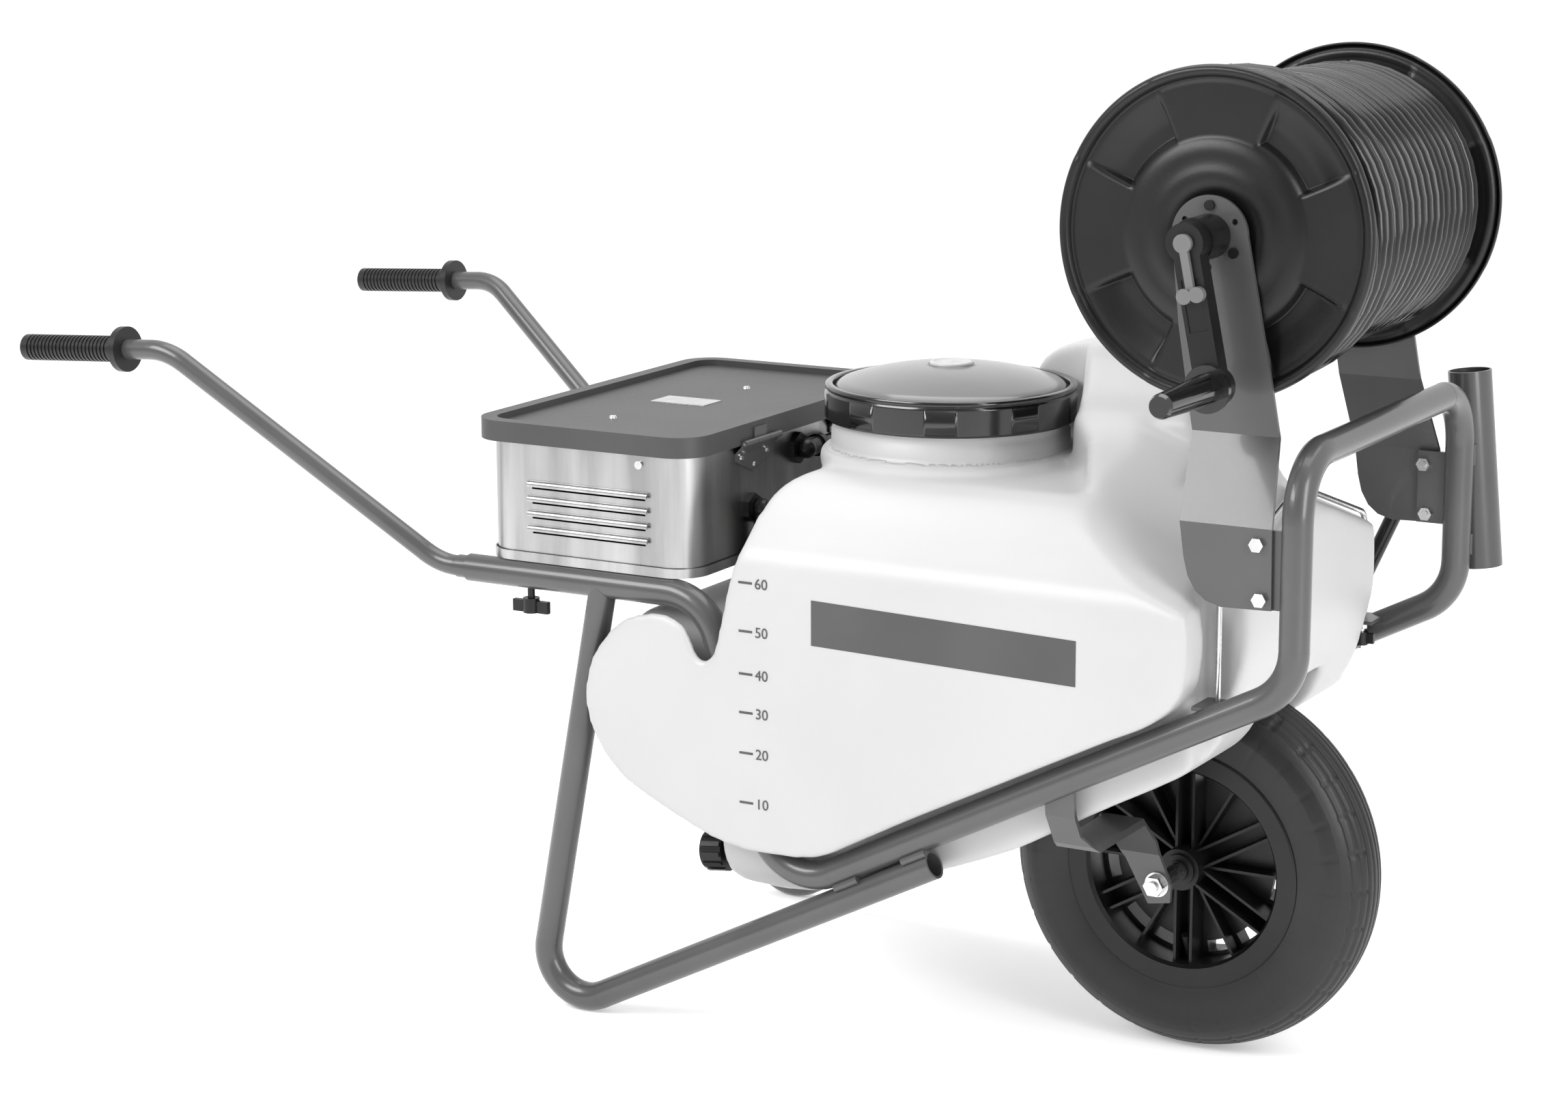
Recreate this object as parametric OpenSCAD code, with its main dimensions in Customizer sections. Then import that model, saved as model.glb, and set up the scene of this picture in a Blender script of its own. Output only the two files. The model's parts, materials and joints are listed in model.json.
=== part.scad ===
// Wheeled sprayer cart: bent tube frame, one pneumatic wheel, moulded tank,
// pump box and hose reel. +X forward, +Y to the left hand, +Z up, millimetres.
// Positions below are from the wheel axle line; origin_x and origin_y move the
// whole cart so that the origin is the middle of its footprint on the ground.

/* [Wheel] */
// Outer diameter of the tyre
wheel_d = 400; // [395:1:405]
// Width of the tyre
tyre_w = 100; // [90:1:104]
// Outer diameter of the rim flange
rim_d = 256; // [250:1:260]
// Diameter of the axle bolt
axle_d = 12; // [10:1:14]

/* [Frame tube] */
// Outer diameter of the frame tube
tube_d = 30; // [28:0.5:31]
// Wall of the frame tube
tube_wall = 2.5; // [2:0.25:3]
// Distance from the middle plane to each side tube
side_y = 230; // [228:1:232]
// Height of the rear rail
rail_z = 477; // [475:1:478]
// Position of the front hoop
hoop_x = 191; // [189:1:194]
// Height of the hoop cross bar
bar_z = 679; // [672:1:684]
// Bend radius of the frame tube
bend_r = 60; // [56:1:62]

/* [Handles] */
// Outer diameter of the handle tube
handle_d = 22; // [21:0.5:23]
// Outer diameter of the rubber grip
grip_d = 29; // [28:0.5:31]
// Outer diameter of the grip collar
collar_d = 50; // [46:1:52]
// Half distance between the grips
grip_y = 314; // [308:1:318]
// Height of the grips
grip_z = 700; // [690:1:710]

/* [Tank] */
// Half width of the tank over its side bulges
tank_half_w = 258; // [256:1:261]
// Wall of the tank
tank_wall = 4.5; // [4:0.5:5]
// Height of the hump ahead of the neck
hump_z = 735; // [725:1:738]
// Bore of the filling neck
neck_bore = 240; // [236:1:242]
// Outer diameter of the screw ring
ring_d = 267; // [265:0.5:270]
// Height of the screw ring
ring_h = 38; // [37:0.5:42]

/* [Pump box] */
// Length of the box body along the cart
box_l = 255; // [248:1:258]
// Half width of the box body
box_half_w = 232; // [228:1:233]
// Height of the box body
box_h = 126; // [122:1:128]
// Sheet thickness of the box
sheet = 1.5; // [1.2:0.1:2]

/* [Hose reel] */
// Diameter of the reel flanges
flange_d = 317.6; // [312:0.2:319]
// Half width over the reel flanges
reel_half_w = 190; // [188:0.5:191]
// Outer diameter of the hose
hose_d = 17; // [16:0.5:18]
// Radius of the crank
crank_r = 138; // [134:1:140]
// Length of the crank grip
knob_l = 118; // [110:1:120]

/* [Lance holder] */
// Outer diameter of the lance holder tube
holder_d = 46; // [44:1:48]
// Wall of the lance holder tube
holder_wall = 2; // [1.5:0.25:2.5]
// Length of the lance holder tube
holder_l = 210; // [200:1:216]

/* [Hidden] */
$fn = 48;
// how far a straight tube reaches into a bend, and how much thicker the bend is
joint_l = 1.5;
joint_d = 0.2;
tr = tube_d / 2;
origin_x = 524.5;
origin_y = 17;
axle_z = wheel_d / 2;
// run of the lower rail between the rear bend and the hoop
run_slope = 0.515;
run_a = atan(run_slope);
run_z0 = 359.2;
knee_x = -372.6;
knee_z = run_z0 + run_slope * knee_x;
rear_bend_x = -456;
rail_end_x = -753;
hoop_low_z = run_z0 + run_slope * hoop_x;
hoop_cut_z = 500;
rail_path = [[rail_end_x, 0, rail_z], [rear_bend_x, 0, rail_z], [knee_x, 0, knee_z],
  [hoop_x, 0, hoop_low_z], [hoop_x, 0, hoop_cut_z]];
hoop_path = [[hoop_x, -side_y, hoop_cut_z], [hoop_x, -side_y, bar_z],
  [hoop_x, side_y, bar_z], [hoop_x, side_y, hoop_cut_z]];
// the leg runs parallel to the lower rail, one tube below it
leg_drop = (tube_d + 0.3) / cos(run_a);
leg_top_x = -583;
leg_lean = 0.19;
leg_end_x = -190;
leg_run_z0 = run_z0 - leg_drop;
leg_foot_x = (leg_top_x - leg_lean * (rail_z - leg_run_z0)) / (1 - leg_lean * run_slope);
leg_foot_z = leg_run_z0 + run_slope * leg_foot_x;
leg_a = angle_of([leg_lean, 0, 1], [1, 0, run_slope]) / 2;
leg_mid = unit(unit([leg_lean, 0, 1]) + unit([1, 0, run_slope]));
// the bend that makes the leg just touch the ground
leg_r = (tr + joint_d / 2 - leg_foot_z) / (leg_mid[2] / sin(leg_a) - 1);
leg_line = [[leg_top_x, 0, rail_z], [leg_foot_x, 0, leg_foot_z],
  [leg_end_x, 0, leg_run_z0 + run_slope * leg_end_x]];
reel_x = 81.8;
reel_z = 879.8;
bolt_d = 8;
arm_in = 193.5;
arm_t = 4;
lug_t = 5;
plate_y = side_y + lug_t / 2;
neck_x = -291;
neck_top = 672;
ring_z = 644.5;
box_front = -475;
box_rear = box_front - box_l;
pan_z = rail_z + tr + 0.2;
lid_z = pan_z + 2 + box_h;
wing_x = -675;
screw_hole = 8.1;
rod_x = 101;
rod_y = 198;
block_half = 183;

function unit(v) = v / norm(v);
function angle_of(a, b) = acos(unit(a) * unit(b));
function bez(a, b, c, s) = (1 - s) * (1 - s) * a + 2 * s * (1 - s) * b + s * s * c;
// rounds every corner of a polygon by r, in n steps
function soft(p, r, n = 4) = [for (i = [0 : len(p) - 1])
  let (a = p[(i + len(p) - 1) % len(p)], b = p[i], c = p[(i + 1) % len(p)],
    t = min(r, norm(a - b) / 2.1, norm(c - b) / 2.1))
  for (k = [0 : n]) bez(b + unit(a - b) * t, b, b + unit(c - b) * t, k / n)];

module mirror_y() { children(); mirror([0, 1, 0]) children(); }
module at_y(s, y) { translate([0, s * y, 0]) children(); }
// straight round bar between two points
module bar(a, b, d) {
  v = b - a;
  translate(a)
    rotate([0, acos(v[2] / norm(v)), atan2(v[1], v[0])])
      cylinder(d = d, h = norm(v));
}
// round bar along a path, each corner bent to radius r; a bend is a hair thicker
// than the straight lengths, which reach a little way into it
module bent(p, r, d) {
  n = len(p);
  t = [for (i = [0 : n - 1]) (i == 0 || i == n - 1) ? 0 :
    r * tan(angle_of(p[i] - p[i - 1], p[i + 1] - p[i]) / 2)];
  for (i = [0 : n - 2]) {
    u = unit(p[i + 1] - p[i]);
    bar(p[i] + u * max(0, t[i] - joint_l), p[i + 1] - u * max(0, t[i + 1] - joint_l), d);
  }
  for (i = [1 : n - 2]) {
    u = unit(p[i] - p[i - 1]);
    v = unit(p[i + 1] - p[i]);
    w = unit(v - u * (u * v));
    c = p[i] - u * t[i] + w * r;
    z = cross(-w, u);
    multmatrix([[-w[0], u[0], z[0], c[0]], [-w[1], u[1], z[1], c[1]],
      [-w[2], u[2], z[2], c[2]], [0, 0, 0, 1]])
      rotate_extrude(angle = angle_of(u, v))
        translate([r, 0])
          circle(d = d + joint_d);
  }
}
// the same path made longer at both ends, for cutting
function longer(p, e) = [for (i = [0 : len(p) - 1])
  i == 0 ? p[0] - unit(p[1] - p[0]) * e :
  i == len(p) - 1 ? p[i] + unit(p[i] - p[i - 1]) * e : p[i]];
module pipe(p, r, d, bore) {
  difference() {
    bent(p, r, d);
    bent(longer(p, 2), r, bore);
  }
}
// a profile in the X-Z plane, spread from y0 to y1
module side_plate(p, y0, y1) {
  translate([0, y1, 0])
    rotate([90, 0, 0])
      linear_extrude(y1 - y0)
        polygon(p);
}
// a profile in the Y-Z plane, spread from x0 to x1
module front_plate(p, x0, x1) {
  translate([x0, 0, 0])
    rotate([90, 0, 90])
      linear_extrude(x1 - x0)
        polygon(p);
}
// right half of a Y-Z outline completed by its mirror image
function both(h) = concat(h, [for (i = [len(h) - 2 : -1 : 1]) [-h[i][0], h[i][1]]]);
// an outline moved to its right-hand side by d
function inset(p, d) = [for (i = [0 : len(p) - 1])
  let (a = p[(i + len(p) - 1) % len(p)], b = p[i], c = p[(i + 1) % len(p)],
    u = unit(b - a), v = unit(c - b), m = [u[1], -u[0]], n = [v[1], -v[0]])
  b + (m + n) * d / (1 + m * n)];
module rbox(x0, x1, hw, z0, z1, r) {
  translate([0, 0, z0])
    linear_extrude(z1 - z0)
      rrect(x0, x1, hw, r);
}
module rrect(x0, x1, hw, r) {
  union() {
    translate([x0 + r, -hw]) square([x1 - x0 - 2 * r, 2 * hw]);
    translate([x0, -hw + r]) square([x1 - x0, 2 * hw - 2 * r]);
    for (x = [x0 + r, x1 - r])
      for (y = [-hw + r, hw - r])
        translate([x, y]) circle(r = r);
  }
}
module hex(af, h) { cylinder(d = af / cos(30), h = h, $fn = 6); }
module along_y(y) { translate([0, y, 0]) rotate([90, 0, 0]) children(); }

// ---------- frame ----------
module rail(s) {
  color("dimgray")
    at_y(s, side_y)
      difference() {
        pipe(rail_path, bend_r, tube_d, tube_d - 2 * tube_wall);
        translate([wing_x, 0, rail_z - tube_d]) cylinder(d = screw_hole, h = 2 * tube_d);
      }
}
module front_hoop() {
  color("dimgray") pipe(hoop_path, bend_r, tube_d, tube_d - 2 * tube_wall);
}
module leg(s) {
  color("dimgray")
    at_y(s, side_y)
      difference() {
        pipe(leg_line, leg_r, tube_d, tube_d - 2 * tube_wall);
        bar([leg_top_x - 60, 0, rail_z], [leg_top_x + 60, 0, rail_z], tube_d + 0.3);
        translate([leg_top_x - 60, -30, rail_z])
          cube([120, 60, 40]);
      }
}
function handle_line(s) = [[rail_end_x + 60, s * side_y, rail_z], [-791.6, s * side_y, rail_z],
  [-1089, s * grip_y, grip_z], [-1284, s * (grip_y + 0.5), grip_z - 11]];
module handle(s) {
  color("dimgray")
    difference() {
      union() {
        bent(handle_line(s), 60, handle_d);
        bar([rail_end_x - 14, s * side_y, rail_z], [rail_end_x + 60, s * side_y, rail_z],
          tube_d - 2 * tube_wall - 0.1);
      }
      bent(longer(handle_line(s), 2), 60, handle_d - 4);
    }
}
// grips turn about the last stretch of the handle
module on_grip(s) {
  l = handle_line(s);
  v = l[3] - l[2];
  translate(l[3])
    rotate([0, acos(v[2] / norm(v)), atan2(v[1], v[0])])
      children();
}
grip_l = 132;
collar_t = 8;
grip_ribs = 22;
module grip(s) {
  color("black")
    on_grip(s)
      difference() {
        union() {
          translate([0, 0, 3]) mirror([0, 0, 1]) cylinder(d = grip_d, h = grip_l + 3);
          translate([0, 0, 3]) cylinder(d1 = grip_d, d2 = grip_d - 5, h = 2);
          translate([0, 0, -grip_l]) mirror([0, 0, 1]) cylinder(d = collar_d, h = collar_t);
          translate([0, 0, -grip_l + 8]) mirror([0, 0, 1])
            cylinder(d1 = grip_d, d2 = collar_d - 8, h = 8);
        }
        translate([0, 0, 0.1]) mirror([0, 0, 1]) cylinder(d = handle_d + 0.1, h = grip_l + 40);
        for (i = [1 : grip_ribs])
          translate([0, 0, -grip_l + 10 + i * (grip_l - 16) / grip_ribs])
            mirror([0, 0, 1])
              difference() {
                cylinder(d = grip_d + 2, h = 2.4);
                translate([0, 0, -1]) cylinder(d = grip_d - 2.4, h = 5);
              }
      }
}
holder_y = side_y + tr + holder_d / 2 + 0.2;
holder_tilt = -5.5;
holder_top = 693;
module on_holder() {
  translate([hoop_x - 5, holder_y, holder_top])
    rotate([0, holder_tilt, 0])
      mirror([0, 0, 1])
        children();
}
module lance_holder() {
  color("dimgray")
    on_holder()
      difference() {
        cylinder(d = holder_d, h = holder_l);
        translate([0, 0, -1]) cylinder(d = holder_d - 2 * holder_wall, h = holder_l + 2);
      }
}
lug_z0 = 533;
lug_z1 = 610;
lug_x0 = 147;
module frame_lugs() {
  color("dimgray") {
    arm_lugs();
    rod_lugs();
  }
}
module arm_lugs() {
    mirror_y()
      difference() {
        translate([lug_x0, side_y - lug_t / 2, lug_z0])
          cube([hoop_x - lug_x0 - tr + 0.6, lug_t, lug_z1 - lug_z0]);
        bar([hoop_x, side_y, 400], [hoop_x, side_y, 700], tube_d + 0.02);
        arm_bolt_holes();
      }
}
arm_bolt_at = [[154, 596], [158, 543]];
module arm_bolt_holes() {
  for (p = arm_bolt_at)
    translate([p[0], 260, p[1]]) rotate([90, 0, 0]) cylinder(d = bolt_d + 0.1, h = 60);
}
rod_lug_z = 424;
module rod_lugs() {
    mirror_y()
      difference() {
        translate([rod_x - 14, rod_y - 10, rod_lug_z])
          cube([28, side_y - rod_y + 10, 4]);
        translate([rod_x, rod_y, rod_lug_z - 1]) cylinder(d = 6.8, h = 8);
        at_y(1, side_y) bent(longer(rail_path, 5), bend_r, tube_d + 0.2);
      }
}
bead_at = [-300, -222];
module weld_beads() {
  color("gray") {
    mirror_y()
      at_y(1, side_y)
        difference() {
          for (x = bead_at)
            translate([x, 9, run_z0 + run_slope * x - leg_drop / 2])
              rotate([0, 90 - run_a, 0])
                cylinder(d = 9, h = 30);
          bent(longer(rail_path, 5), bend_r, tube_d + 0.02);
          bent(longer(leg_line, 5), leg_r, tube_d + 0.02);
        }
    difference() {
      for (z = [500, 596])
        translate([hoop_x + 9, side_y + tr + 1, z]) cylinder(d = 8, h = 22);
      bar([hoop_x, side_y, 450], [hoop_x, side_y, 640], tube_d + 0.02);
      on_holder() cylinder(d = holder_d + 0.02, h = holder_l + 10);
    }
  }
}
// flat bar bracket: hangs from the side rail, passes under the tank, holds the axle
bar_t = 5;
fork_y = 97;
module wheel_bracket() {
  color("dimgray")
    difference() {
      intersection() {
        front_plate([[side_y + 1, 335], [side_y - 4, 300], [205, 263], [88, 263],
          [fork_y, 232], [fork_y, 178], [fork_y + bar_t, 178], [fork_y + bar_t, 231],
          [95, 258], [203, 258], [210, 264], [side_y + 1, 298], [side_y + 6, 335]], -90, 40);
        side_plate([[-66, 340], [-34, 340], [-34, 275], [-18, 258], [-4, 243], [15, 200],
          [14, 182], [-10, 178], [-17, 190], [-36, 224], [-66, 256]], 60, 260);
      }
      at_y(1, side_y) bent(longer(rail_path, 5), bend_r, tube_d + 0.2);
      translate([0, 120, axle_z]) rotate([90, 0, 0]) cylinder(d = axle_d + 0.1, h = 40);
    }
}
axle_half = 118;
module axle_bolt() {
  color("silver")
    axle_set()
      along_y(axle_half)
        cylinder(d = axle_d, h = 2 * axle_half);
}
module axle_spacers() {
    axle_set()
      mirror_y()
        difference() {
          along_y(fork_y - 0.2) cylinder(d = 18, h = fork_y - 0.2 - hub_half - 6.3);
          along_y(fork_y + 1) cylinder(d = axle_d + 0.1, h = fork_y);
        }
}
module axle_set() { translate([0, 0, axle_z]) children(); }
module axle_nuts() {
  color("silver") {
    axle_end_nuts();
    axle_spacers();
  }
}
module axle_end_nuts() {
    axle_set()
      mirror_y() {
        difference() {
          along_y(fork_y + bar_t + 12.2) hex(19, 10);
          along_y(fork_y + bar_t + 13) cylinder(d = axle_d + 0.1, h = 14);
        }
        difference() {
          along_y(fork_y + bar_t + 2.1) cylinder(d = 26, h = 2);
          along_y(fork_y + bar_t + 3) cylinder(d = axle_d + 0.1, h = 4);
        }
      }
}

// ---------- wheel ----------
hub_d = 44;
hub_half = 46;
bush_d = 26;
bush_bore = 12.1;
bead_r = 112;
tread_n = 9;
valve_a = 180;
module spin_y() { rotate([90, 0, 0]) rotate_extrude($fn = 96) children(); }
// half section of the tyre: radius across, width up
module tyre() {
  color("black")
    axle_set()
      difference() {
        spin_y()
          polygon(concat(
            [[bead_r, -38], [bead_r, -30], [118, -28], [128, -36]],
            [for (a = [-60 : 15 : 60]) [154 + 34 * cos(a), (tyre_w / 2 - 7) * sin(a)]],
            [[128, 36], [118, 28], [bead_r, 30], [bead_r, 38], [127, 42.5]],
            [for (a = [80 : -10 : -80])
              [152 + (axle_z - 152) * cos(a), tyre_w / 2 * sin(a)]],
            [[127, -42.5]]));
        for (i = [0 : tread_n - 1])
          let (y = (i - (tread_n - 1) / 2) * 8.5)
            spin_y()
              translate([axle_z - 2.2 - 0.16 * pow(abs(y) / 5, 2), y - 1.4])
                square([8, 2.8]);
      }
}
rib_n = 6;
rib_t = 3;
rib_off = 9;
// ribs of the rim, side away from the spoke's own line by off
module rim_ribs(a0, half, off) {
  for (i = [0 : rib_n - 1])
    rotate([0, a0 + i * 360 / rib_n, 0])
      translate([hub_d / 2 - 5, -half, off - rib_t / 2])
        cube([bead_r - hub_d / 2 + 2, 2 * half, rib_t]);
}
module wheel_rim() {
  color([0.12, 0.12, 0.12])
    axle_set()
      difference() {
        union() {
          spin_y()
            polygon([[104, -39], [104, 39], [107, 43.5], [rim_d / 2 - 2, 44.5], [rim_d / 2, 43.5],
              [126, 43], [bead_r - 0.5, 38.2], [bead_r - 0.5, 30], [bead_r - 0.5, -30],
              [bead_r - 0.5, -38.2], [126, -43], [rim_d / 2, -43.5], [rim_d / 2 - 2, -44.5],
              [107, -43.5]]);
          spin_y()
            translate([hub_d / 2 - 2, -3]) square([106 - hub_d / 2, 6]);
          spin_y()
            translate([bush_d / 2 + 0.05, -hub_half]) square([(hub_d - bush_d) / 2, 2 * hub_half]);
          for (s = [-1, 1])
            rim_ribs(valve_a - 90, 33, s * rib_off);
          rim_ribs(valve_a - 60, 24, 0);
        }
        for (i = [0 : rib_n - 1])
          for (a = [10, 33])
            rotate([0, valve_a - 90 + i * 360 / rib_n, 0])
              translate([0, 5, 0])
                rotate([90, 0, 0])
                  rotate_extrude(angle = 17, start = a)
                    translate([88, 0]) square([12, 10]);
        valve_place() translate([0, 0, -20]) cylinder(d = 8.1, h = 60);
      }
}
module wheel_bushes() {
  color([0.3, 0.3, 0.3])
    axle_set()
      mirror_y()
        difference() {
          union() {
            along_y(hub_half + 1) cylinder(d = bush_d, h = 24);
            along_y(hub_half + 3.2) cylinder(d = 34, h = 3.1);
            along_y(hub_half + 6) cylinder(d = 22, h = 4);
          }
          along_y(hub_half + 8) cylinder(d = bush_bore, h = 40);
        }
}
module valve_place() {
  rotate([0, valve_a, 0])
    translate([0, -14, 100])
      rotate([-24, 0, 0])
        children();
}
module tyre_valve() {
  color("black")
    axle_set()
      valve_place() {
        translate([0, 0, -14]) cylinder(d = 8, h = 28);
        translate([0, 0, -26]) cylinder(d = 9.5, h = 13);
      }
}

// ---------- tank ----------
// side outlines, X and Z; the lobe hangs outside the side tubes
core_line = [[-418, 494], [-412, 516], [-404, 540], [-402, 588], [-380, 604], [84, 606],
  [118, 592], [122, 470], [101, 388], [81, 356], [43, 334], [-15, 303], [-112, 247],
  [-195, 212], [-363, 159], [-434, 160], [-453, 173], [-459, 233], [-452, 330], [-436, 418]];
ear_line = [[-418, 494], [-412, 516], [-404, 540], [-402, 584], [-380, 600], [40, 600],
  [84, 556], [94, 500], [92, 452], [78, 428], [46, 404], [18, 392], [-90, 337],
  [-208, 277], [-315, 219], [-380, 217], [-420, 219], [-459, 233], [-526, 263],
  [-562, 286], [-589, 330], [-594, 361], [-587, 403], [-549, 449],
  [-509, 461], [-470, 455], [-454, 412], [-436, 418]];
// front outlines, Y and Z, right half
core_front = [[0, 120], [150, 120], [205, 172], [212, 240], [212, 560], [196, 585],
  [152, 604], [110, 612], [0, 616]];
ear_front = [[0, 120], [tank_half_w - 14, 120], [tank_half_w, 150], [tank_half_w, 520],
  [tank_half_w - 6, 538], [214, 572], [190, 588], [150, 606], [0, 606]];
// the hump under the reel, seen from the side, from the front and from above
hump_line = [[-262, 560], [-262, 684], [-226, 708], [-188, 718], [-128, hump_z], [-84, hump_z - 2],
  [-36, 702], [-10, 650], [4, 600], [4, 560]];
hump_front = [[-168, 560], [-150, 604], [-100, 622], [-30, 642], [8, 662], [46, hump_z + 4],
  [150, hump_z + 4], [178, 704], [190, 640], [200, 560]];
hump_plan = [[-262, 206], [110, 206], [110, -176], [-46, -176], [-66, -146], [-124, -20], [-262, 60]];
hump_gap = 18;
collar_r = 139;
collar_base = 561;
collar_cone = 34;
collar_h = 53;
// the fall of the top towards the front and the sides
roof_z = 631.5;
roof_tilt = 17.6;
roof_right_x = -120;
roof_left_x = 6;
roof_half = 300;
slot_line = [[-700, 120], [-350, 120], [-352, 232], [-372, 262], [-424, 455], [-418, 500],
  [-418, 650], [-700, 650]];
arch_r = 226;
arch_half = 76;
slot_in = side_y - tr - 2;
slot_out = side_y + tr + 2;
neck_r = neck_bore / 2 + 5;
gap_x = 80;
arm_gap_x = 79;
arm_gap_z = 526;
module side_solid(p, d) {
  side_plate(soft(inset(p, d), 20, 2), -300, 300);
}
module front_solid(h, d) {
  front_plate(soft(inset(both(h), -d), 24, 2), -700, 300);
}
// what the tank leaves free, grown by d: side tubes, wheel, arms and tie rod
module tank_free(d) {
  mirror_y() {
    translate([0, slot_in - d, 0])
      side_plate(inset(slot_line, d), 0, slot_out - slot_in + 2 * d);
    at_y(1, side_y) bent(longer(rail_path, 5), bend_r, tube_d + 4 + 2 * d);
    translate([gap_x - d, block_half - d, 300])
      cube([100, slot_in - block_half + 2 * d, 330]);
    translate([arm_gap_x - d, 190 - d, arm_gap_z - d])
      cube([100, 110, 90]);
  }
  translate([0, arch_half + d, axle_z])
    rotate([90, 0, 0])
      cylinder(r = arch_r + d, h = 2 * (arch_half + d), $fn = 96);
}
module hump(d) {
  difference() {
    intersection() {
      side_solid(hump_line, d);
      front_plate(soft(inset(hump_front, d), 24, 2), -700, 300);
      translate([0, 0, 540]) linear_extrude(240) polygon(soft(inset(hump_plan, d), 20, 2));
    }
    translate([neck_x, 0, 540]) cylinder(r = neck_r + hump_gap + d, h = 240, $fn = 96);
  }
}
// what the sloping top leaves free, one plane to each side; the far hump stands through it
module roof_cut(d) {
  for (s = [-1, 1]) {
    x0 = (s < 0 ? roof_right_x : roof_left_x) - d;
    translate([x0, 0, roof_z - d * sqrt(1.2) - x0 * tan(roof_tilt)])
      multmatrix([[1, 0, 0, 0], [0, 1, 0, 0],
        [-tan(roof_tilt), -s * tan(roof_tilt), 1, 0], [0, 0, 0, 1]])
        translate([0, s < 0 ? -roof_half : -d, 0]) cube([400, roof_half + d, 200]);
  }
}
// the moulded step under the neck, on a cone that comes up out of the top
module collar(d) {
  on_neck(collar_base)
    turned([[0, d * sqrt(2)], [collar_r - collar_cone, d * sqrt(2)],
      [collar_r - d, collar_cone - d + d * sqrt(2)], [collar_r - d, collar_h - 3 - d],
      [collar_r - 3 - d, collar_h - d], [0, collar_h - d]]);
}
module tank_mass(d) {
  difference() {
    union() {
      intersection() {
        side_solid(core_line, d);
        front_solid(core_front, d);
      }
      intersection() {
        side_solid(ear_line, d);
        front_solid(ear_front, d);
      }
      hump(d);
    }
    roof_cut(d);
    tank_free(d);
  }
}
module tank() {
  color("white")
    difference() {
      union() {
        tank_mass(0);
        collar(0);
        on_neck(590) cylinder(r = neck_r, h = neck_top - 590, $fn = 96);
        for (z = [650, 659])
          on_neck(z) cylinder(r = neck_r + 2.4, h = 3, $fn = 96);
      }
      tank_mass(tank_wall);
      collar(tank_wall);
      on_neck(570) cylinder(d = neck_bore, h = 140, $fn = 96);
      drain_place() translate([0, 0, -30]) cylinder(d = 24, h = 60);
      translate([port_x - 40, suction_y, port_z]) rotate([0, 90, 0])
        cylinder(d = suction_d + 0.1, h = 40);
    }
}
// the drain stands on the sloping tail of the tank
module drain_place() {
  translate([-457, -180, 190]) rotate([0, -97, 0]) children();
}
scale_z = [504, 453, 408, 367, 324, 271];
module tank_scale() {
  color("black")
    for (z = scale_z)
      translate([-402, -tank_half_w - 0.4, z - 1.2]) cube([16, 0.4, 2.4]);
}
module tank_panel() {
  color("gray")
    side_plate([[-317, 447], [-23, 440], [-23, 486], [-317, 494]],
      -tank_half_w - 0.4, -tank_half_w);
}
gasket_t = 2.2;
lid_z0 = neck_top + 0.3 + gasket_t;
dome_flange = 2.2;
dome_h = 25;
lid_flange_r = neck_r + 3.4;
lip_r = neck_r - 0.5;
module on_neck(z) { translate([neck_x, 0, z]) children(); }
module turned(p) { rotate_extrude($fn = 96) polygon(p); }
module cap_gasket() {
  color("black")
    on_neck(neck_top + 0.3)
      turned([[neck_bore / 2 - 2, 0], [neck_r - 0.5, 0], [neck_r - 0.5, gasket_t],
        [neck_bore / 2 - 2, gasket_t]]);
}
module cap_lid() {
  color("gray")
    on_neck(lid_z0)
      turned([[0, dome_h - 3], [24.4, dome_h - 3], [60, 21.4], [90, 16.6], [108, 11.4], [117, 6],
        [119.5, 0], [lid_flange_r, 0], [lid_flange_r, dome_flange], [122.6, dome_flange], [121.4, 6.4],
        [110.4, 14.2], [91.6, 19.8], [60.4, 24.8], [24.2, dome_h + 2.4], [24.2, dome_h],
        [0, dome_h]]);
}
module cap_vent() {
  color("black")
    on_neck(lid_z0 + dome_h)
      difference() {
        cylinder(r1 = 24, r2 = 22, h = 5);
        for (a = [0 : 60 : 300])
          rotate([0, 0, a]) translate([14, 0, 2]) cylinder(d = 5, h = 5);
      }
}
module cap_ring() {
  color([0.1, 0.1, 0.1])
    on_neck(ring_z)
      difference() {
        union() {
          turned([[neck_r + 4, 0], [ring_d / 2 - 3.3, 0], [ring_d / 2, ring_h - 5],
            [ring_d / 2 - 2, ring_h], [lip_r, ring_h],
            [lip_r, lid_z0 + dome_flange + 0.3 - ring_z],
            [neck_r + 4, lid_z0 + dome_flange + 0.3 - ring_z]]);
          for (a = [20 : 60 : 320])
            rotate([0, 0, a])
              translate([ring_d / 2 - 6, -16, 2]) cube([8, 32, ring_h - 10]);
        }
        translate([0, 0, -1])
          cylinder(r = neck_r + 4, h = lid_z0 + dome_flange + 1.3 - ring_z, $fn = 96);
      }
}
module drain_cap() {
  color("black")
    drain_place()
      difference() {
        union() {
          translate([0, 0, 3.3]) cylinder(d = 42, h = 26);
          translate([0, 0, -10]) cylinder(d = 23.8, h = 14);
          for (a = [0 : 30 : 330])
            rotate([0, 0, a]) translate([18, -2.5, 4.3]) cube([5, 5, 22]);
        }
        translate([0, 0, 24]) cylinder(d = 32, h = 8);
        translate([0, 0, -12]) cylinder(d = 16, h = 20);
      }
}
rod_d = 6;
rod_low = 396;
rod_top = 606.5;
rod_line = [[rod_x, -rod_y, rod_low], [rod_x, -rod_y, rod_top - rod_y * tan(roof_tilt)],
  [rod_x, 0, rod_top], [rod_x, rod_y, rod_top - rod_y * tan(roof_tilt)],
  [rod_x, rod_y, rod_low]];
module tie_rod() {
  color("gray") bent(rod_line, 22, rod_d);
}
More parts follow.
